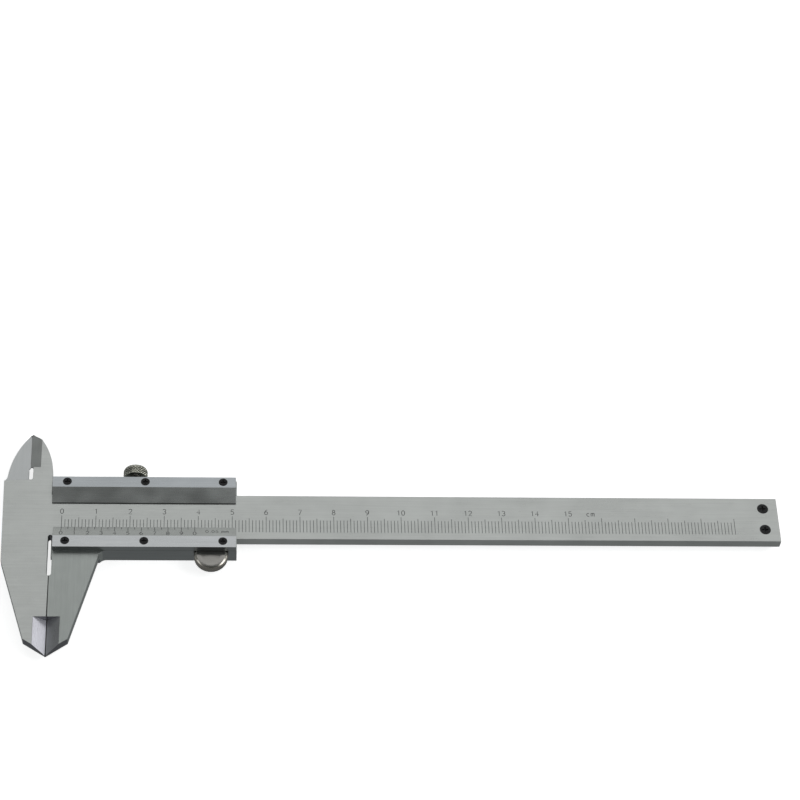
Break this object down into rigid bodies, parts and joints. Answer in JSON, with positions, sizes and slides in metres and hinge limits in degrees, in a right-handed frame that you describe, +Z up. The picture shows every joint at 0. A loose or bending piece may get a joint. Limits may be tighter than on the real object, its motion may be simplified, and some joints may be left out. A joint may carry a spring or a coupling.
{
  "type": "vernier caliper",
  "caption": "Steel vernier caliper with outside and inside jaws, screwed guide strips, lock screw, thumb roller and depth rod.",
  "frame": {"origin": "centre of the bounding box on the plane that the caliper lies on", "axes": "+X along the beam from the jaws to its free end, +Y from the outside jaws towards the inside jaws, +Z up out of the graduated face"},
  "size_m": [0.231, 0.0748, 0.0077],
  "materials": {
    "beam_steel": "satin ground stainless steel",
    "slider_steel": "satin milled stainless steel",
    "strip_steel": "fine ground steel, long grain",
    "rod_steel": "drawn and ground steel",
    "nickel": "polished nickel plate with knurling",
    "black_screw": "black oxide steel",
    "bronze": "rolled spring bronze"
  },
  "bodies": {
    "beam": {"beam": "beam_steel", "stop_plate": "rod_steel", "stop_plate_screws": "black_screw"},
    "slider": {"slider_body": "slider_steel", "upper_guide_strip": "strip_steel", "vernier_plate": "strip_steel", "guide_strip_screws": "black_screw", "vernier_plate_screws": "black_screw", "vernier_plate_short_screw": "black_screw", "gib_spring": "bronze", "gib_set_screws": "black_screw", "roller_axle": "rod_steel", "roller_washer": "bronze", "depth_rod": "rod_steel", "depth_rod_screws": "black_screw"},
    "lock_pad": {"lock_screw_pad": "bronze"},
    "lock_screw": {"lock_screw": "nickel"},
    "roller": {"thumb_roller": "nickel"}
  },
  "joints": [
    {"name": "slider_travel", "type": "slide", "parent": "beam", "child": "slider", "axis": [1, 0, 0], "range_m": [0, 0.15]},
    {"name": "roller_spin", "type": "hinge", "parent": "slider", "child": "roller", "pos_m": [-0.0542, -0.0046, 0.0041], "axis": [0, 0, 1], "continuous": true},
    {"name": "lock_pad_travel", "type": "slide", "parent": "slider", "child": "lock_pad", "axis": [0, 1, 0], "range_m": [-0.0000416, 0.0005]},
    {"name": "lock_screw_turn", "type": "hinge", "parent": "lock_pad", "child": "lock_screw", "pos_m": [-0.07685, 0.0229, 0.0039], "axis": [0, 1, 0], "range_deg": [-31, 361]}
  ],
  "couplings": [
    {"joint": "roller_spin", "follows": "slider_travel", "rad_per_m": 202.02},
    {"joint": "lock_screw_turn", "follows": "lock_pad_travel", "rad_per_m": 12566}
  ]
}
